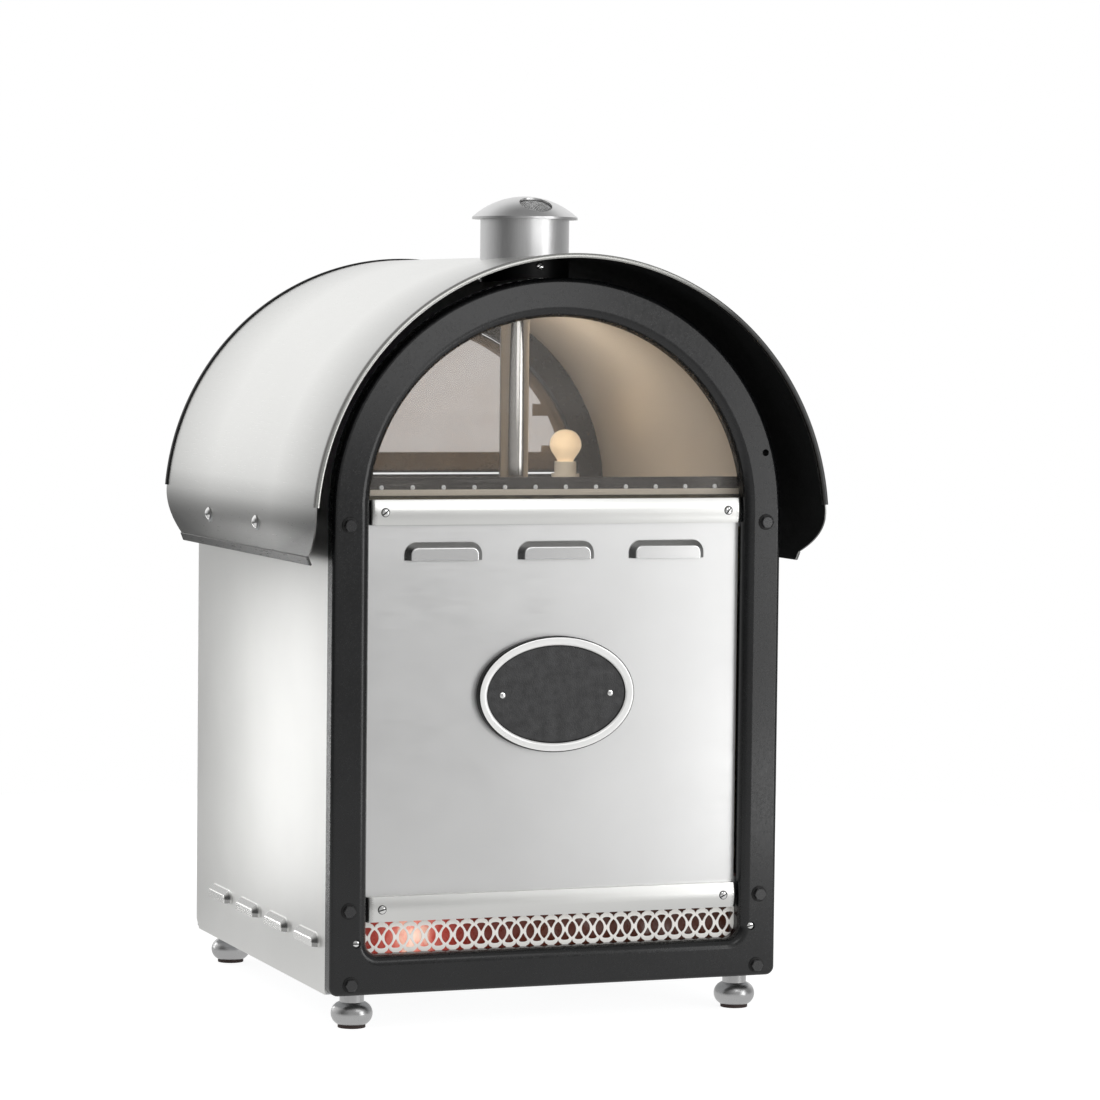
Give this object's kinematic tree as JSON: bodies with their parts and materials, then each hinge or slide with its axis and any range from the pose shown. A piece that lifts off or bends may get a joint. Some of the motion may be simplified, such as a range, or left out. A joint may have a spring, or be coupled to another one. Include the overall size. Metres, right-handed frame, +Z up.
{
  "type": "potato baker",
  "caption": "Counter-top potato baker: arched lit display over an oven, barrel canopy with chimney, glow grille, rear doors and controls.",
  "frame": {"origin": "on the counter, in the middle of the footprint box", "axes": "+Z up, -Y towards the display front, +X to the right seen from the front"},
  "size_m": [0.494, 0.515, 0.746],
  "materials": {
    "black_cast": "satin black paint on a cast surface",
    "black_steel": "satin black",
    "stainless_sheet": "fine satin sheet",
    "brushed_panel": "brushed along the width",
    "bright_strip": "bright",
    "dark_edge": "matt black edging",
    "bright_fixing": "polished",
    "satin_alloy": "satin",
    "polished_steel": "polished",
    "black_field": "grained black enamel",
    "cream_grille": "cream enamel",
    "red_sheet": "crinkled red sheet",
    "red_lamp": "lit lamp",
    "warm_lamp": "lit lamp",
    "lamp_base": "white ceramic",
    "soft_rubber": "matt",
    "window_glass": "clear, slightly smoky",
    "door_glass": "clear",
    "plain_steel": "zinc plated",
    "oven_steel": "satin",
    "shelf_wire": "plated",
    "element_sheath": "dark oxide",
    "mineral_wool": "fibrous",
    "motor_shell": "cast",
    "dark_gauze": "woven wire",
    "black_plastic": "matt black",
    "grey_plastic": "matt",
    "switch_plastic": "gloss black",
    "amber_lens": "clear amber"
  },
  "bodies": {
    "housing": {"front_frame": "black_cast", "rear_frame": "black_cast", "frame_bolts": "black_steel", "frame_hinges": "black_steel", "side_panel_left": "stainless_sheet", "side_panel_right": "stainless_sheet", "body_roof": "stainless_sheet", "canopy": "stainless_sheet", "front_panel": "brushed_panel", "control_panel": "brushed_panel", "panel_top_strip": "bright_strip", "panel_bottom_strip": "bright_strip", "canopy_trim_front": "bright_strip", "canopy_trim_rear": "dark_edge", "slotted_screws": "bright_fixing", "canopy_rivets": "bright_fixing", "plate_rivets": "bright_fixing", "feet": "satin_alloy", "chimney_tube": "satin_alloy", "chimney_cap": "satin_alloy", "flue_pipe": "polished_steel", "oval_plate": "polished_steel", "display_liner": "polished_steel", "display_floor": "polished_steel", "oval_field": "black_field", "glow_grille": "cream_grille", "glow_screen": "red_sheet", "glow_lamp": "red_lamp", "display_lamp": "warm_lamp", "lamp_holders": "lamp_base", "foot_pads": "soft_rubber", "window_seal": "soft_rubber", "window_glass": "window_glass", "base_plate": "plain_steel", "panel_rails": "plain_steel", "oven_deck": "plain_steel", "canopy_spacers": "plain_steel", "fan_baffle": "plain_steel", "shelf_runners": "plain_steel", "oven_liner": "oven_steel", "oven_shelves": "shelf_wire", "heating_element": "element_sheath", "insulation": "mineral_wool", "fan_motor": "motor_shell", "vent_gauze": "dark_gauze", "cable_gland": "black_plastic", "control_bodies": "grey_plastic", "pilot_lamps": "amber_lens"},
    "oven_door": {"oven_door_outer": "brushed_panel", "oven_door_liner": "oven_steel", "oven_door_handle": "black_plastic", "oven_door_hinges": "black_steel"},
    "display_door": {"display_door_frame": "black_steel", "display_door_glass": "door_glass", "display_door_knob": "black_plastic", "display_door_hinges": "black_steel"},
    "thermostat": {"thermostat_knob": "black_plastic"},
    "timer": {"timer_knob": "black_plastic"},
    "mains_switch": {"mains_rocker": "switch_plastic"},
    "fan": {"fan_impeller": "oven_steel"}
  },
  "joints": [
    {"name": "oven_door_swing", "type": "hinge", "parent": "housing", "child": "oven_door", "pos_m": [0.186, 0.2215, 0.296], "axis": [0, 0, -1], "range_deg": [0, 110]},
    {"name": "display_door_swing", "type": "hinge", "parent": "housing", "child": "display_door", "pos_m": [0.186, 0.2215, 0.52], "axis": [0, 0, -1], "range_deg": [0, 110]},
    {"name": "thermostat_turn", "type": "hinge", "parent": "housing", "child": "thermostat", "pos_m": [-0.06, 0.212, 0.0935], "axis": [0, -1, 0], "range_deg": [0, 270]},
    {"name": "timer_turn", "type": "hinge", "parent": "housing", "child": "timer", "pos_m": [0.02, 0.212, 0.0935], "axis": [0, -1, 0], "range_deg": [0, 300]},
    {"name": "mains_rock", "type": "hinge", "parent": "housing", "child": "mains_switch", "pos_m": [0.085, 0.194, 0.0935], "axis": [-1, 0, 0], "range_deg": [0, 24]},
    {"name": "fan_spin", "type": "hinge", "parent": "housing", "child": "fan", "pos_m": [0, -0.12, 0.292], "axis": [0, 1, 0], "continuous": true}
  ]
}
